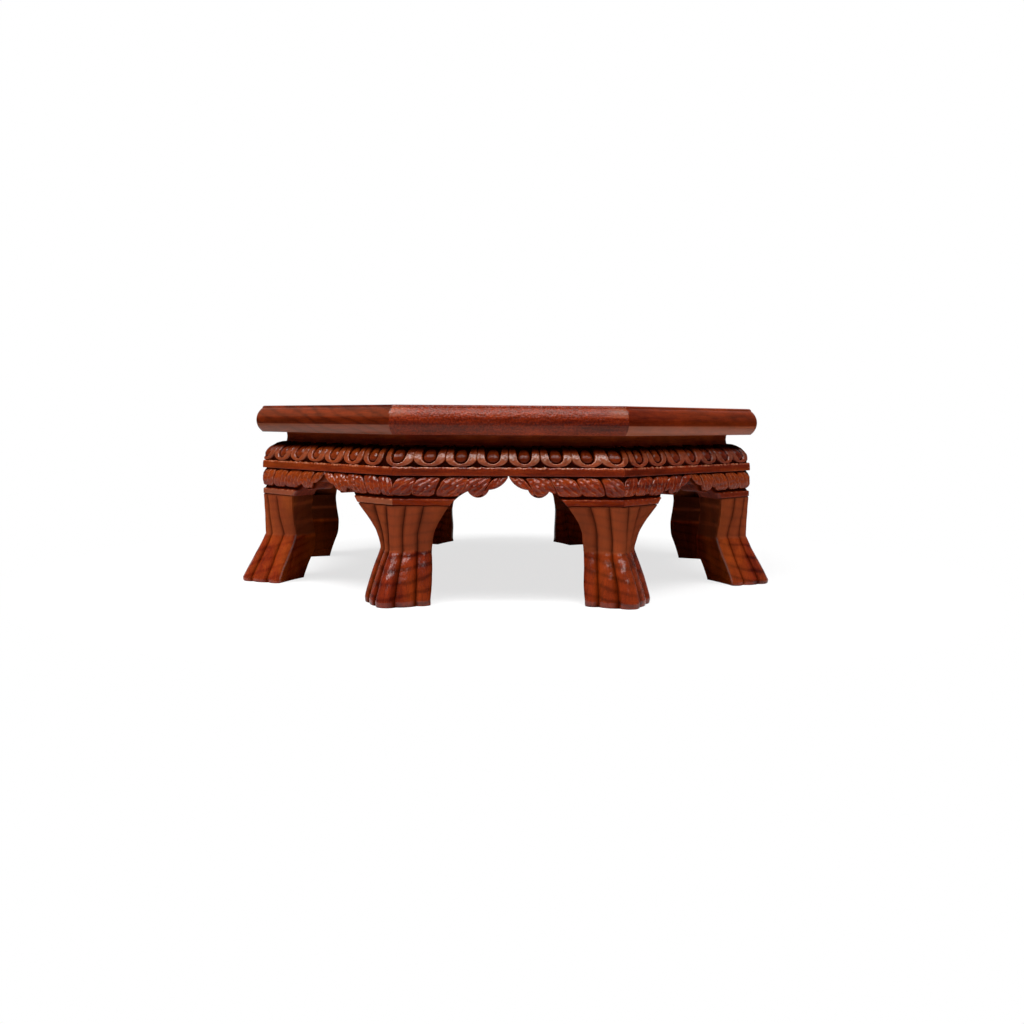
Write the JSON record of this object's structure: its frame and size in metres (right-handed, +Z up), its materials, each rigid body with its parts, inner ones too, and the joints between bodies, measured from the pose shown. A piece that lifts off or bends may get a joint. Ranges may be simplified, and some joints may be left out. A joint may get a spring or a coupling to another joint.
{
  "type": "low table",
  "caption": "Low octagonal carved wooden table with a thick round-edged top, ring and leaf mouldings, arches and reeded paw-foot legs.",
  "frame": {"origin": "on the floor, under the middle of the top", "axes": "+Z up through the middle of the top; -Y out through the front side, +X out through the right side"},
  "size_m": [0.5588, 0.5588, 0.1852],
  "materials": {
    "top_wood": "red-brown stained hardwood, gloss varnish",
    "panel_wood": "red-brown stained hardwood, gloss varnish",
    "neck_wood": "dark red-brown stained hardwood, satin",
    "carved_wood": "carved red-brown hardwood, gloss varnish",
    "leg_wood": "carved red-brown hardwood, gloss varnish",
    "batten_wood": "plain hardwood, unvarnished",
    "dowel_wood": "plain hardwood",
    "screw_steel": "plain"
  },
  "bodies": {
    "root": {"top_rail_1": "top_wood", "top_rail_2": "top_wood", "top_rail_3": "top_wood", "top_rail_4": "top_wood", "top_rail_5": "top_wood", "top_rail_6": "top_wood", "top_rail_7": "top_wood", "top_rail_8": "top_wood", "neck_rail_1": "neck_wood", "neck_rail_2": "neck_wood", "neck_rail_3": "neck_wood", "neck_rail_4": "neck_wood", "neck_rail_5": "neck_wood", "neck_rail_6": "neck_wood", "neck_rail_7": "neck_wood", "neck_rail_8": "neck_wood", "ring_rail_1": "carved_wood", "ring_rail_2": "carved_wood", "ring_rail_3": "carved_wood", "ring_rail_4": "carved_wood", "ring_rail_5": "carved_wood", "ring_rail_6": "carved_wood", "ring_rail_7": "carved_wood", "ring_rail_8": "carved_wood", "bracket_left_1": "carved_wood", "bracket_left_2": "carved_wood", "bracket_left_3": "carved_wood", "bracket_left_4": "carved_wood", "bracket_left_5": "carved_wood", "bracket_left_6": "carved_wood", "bracket_left_7": "carved_wood", "bracket_left_8": "carved_wood", "bracket_right_1": "carved_wood", "bracket_right_2": "carved_wood", "bracket_right_3": "carved_wood", "bracket_right_4": "carved_wood", "bracket_right_5": "carved_wood", "bracket_right_6": "carved_wood", "bracket_right_7": "carved_wood", "bracket_right_8": "carved_wood", "leg_1": "leg_wood", "leg_2": "leg_wood", "leg_3": "leg_wood", "leg_4": "leg_wood", "leg_5": "leg_wood", "leg_6": "leg_wood", "leg_7": "leg_wood", "leg_8": "leg_wood", "panel_board_1": "panel_wood", "panel_board_2": "panel_wood", "panel_board_3": "panel_wood", "panel_board_4": "panel_wood", "batten_1": "batten_wood", "batten_2": "batten_wood", "mitre_splines": "dowel_wood", "dowels": "dowel_wood", "frame_screws": "screw_steel", "batten_screws": "screw_steel"}
  },
  "joints": []
}
